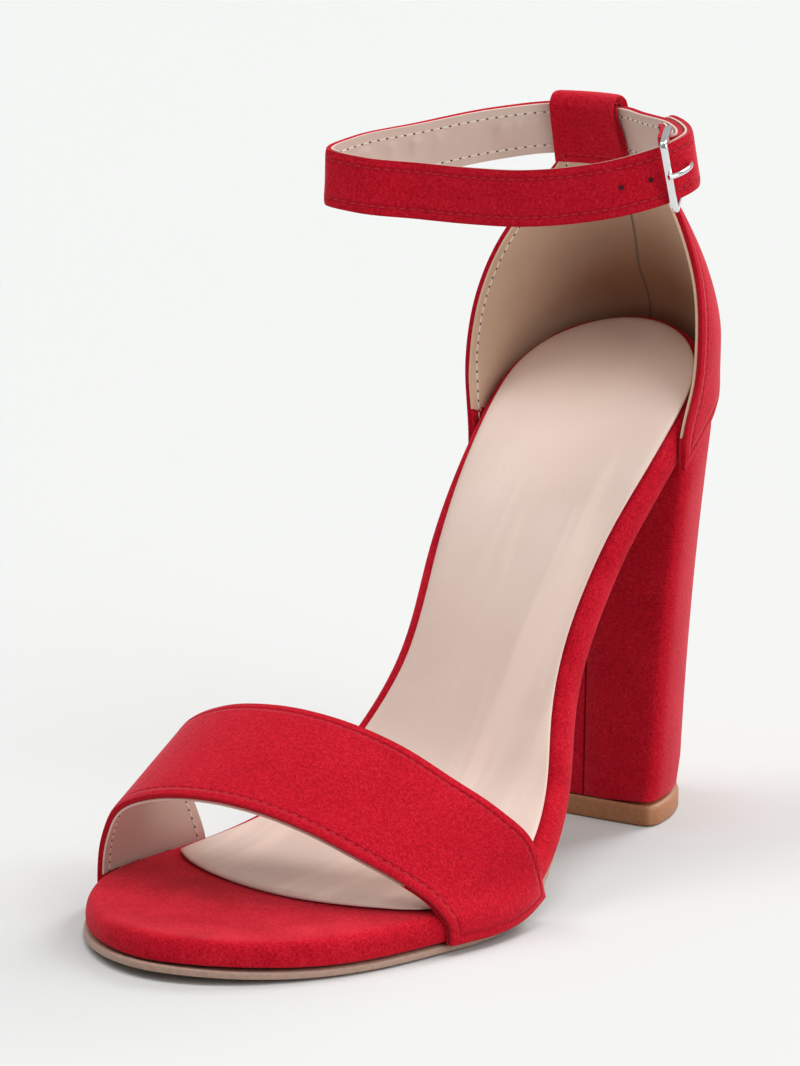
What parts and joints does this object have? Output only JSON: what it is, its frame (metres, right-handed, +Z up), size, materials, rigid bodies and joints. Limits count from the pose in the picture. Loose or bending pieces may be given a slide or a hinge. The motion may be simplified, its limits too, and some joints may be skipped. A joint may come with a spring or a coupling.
{
  "type": "ankle strap heel",
  "caption": "Open-toe sandal with a broad toe strap, closed heel counter, buckled ankle strap and a tall block heel.",
  "frame": {"origin": "on the floor, at the middle of the shoe's bounding box in plan", "axes": "+Z up, -Y towards the toe, +Y towards the heel, +X towards the outer side of the foot, where the buckle is"},
  "size_m": [0.0918, 0.2032, 0.172],
  "materials": {
    "red_suede": "bright red suede with a short nap",
    "beige_lining": "smooth beige lining with a satin gloss",
    "tan_sole": "thin tan resin sheet, satin",
    "tan_rubber": "brown-tan moulded rubber",
    "bright_steel": "polished plating"
  },
  "bodies": {
    "root": {"outsole": "tan_sole", "footbed": "red_suede", "sock": "beige_lining", "heel_block": "red_suede", "top_piece": "tan_rubber", "toe_strap": "red_suede", "counter": "red_suede", "ankle_strap": "red_suede", "buckle_frame": "bright_steel", "buckle_prong": "bright_steel"}
  },
  "joints": []
}
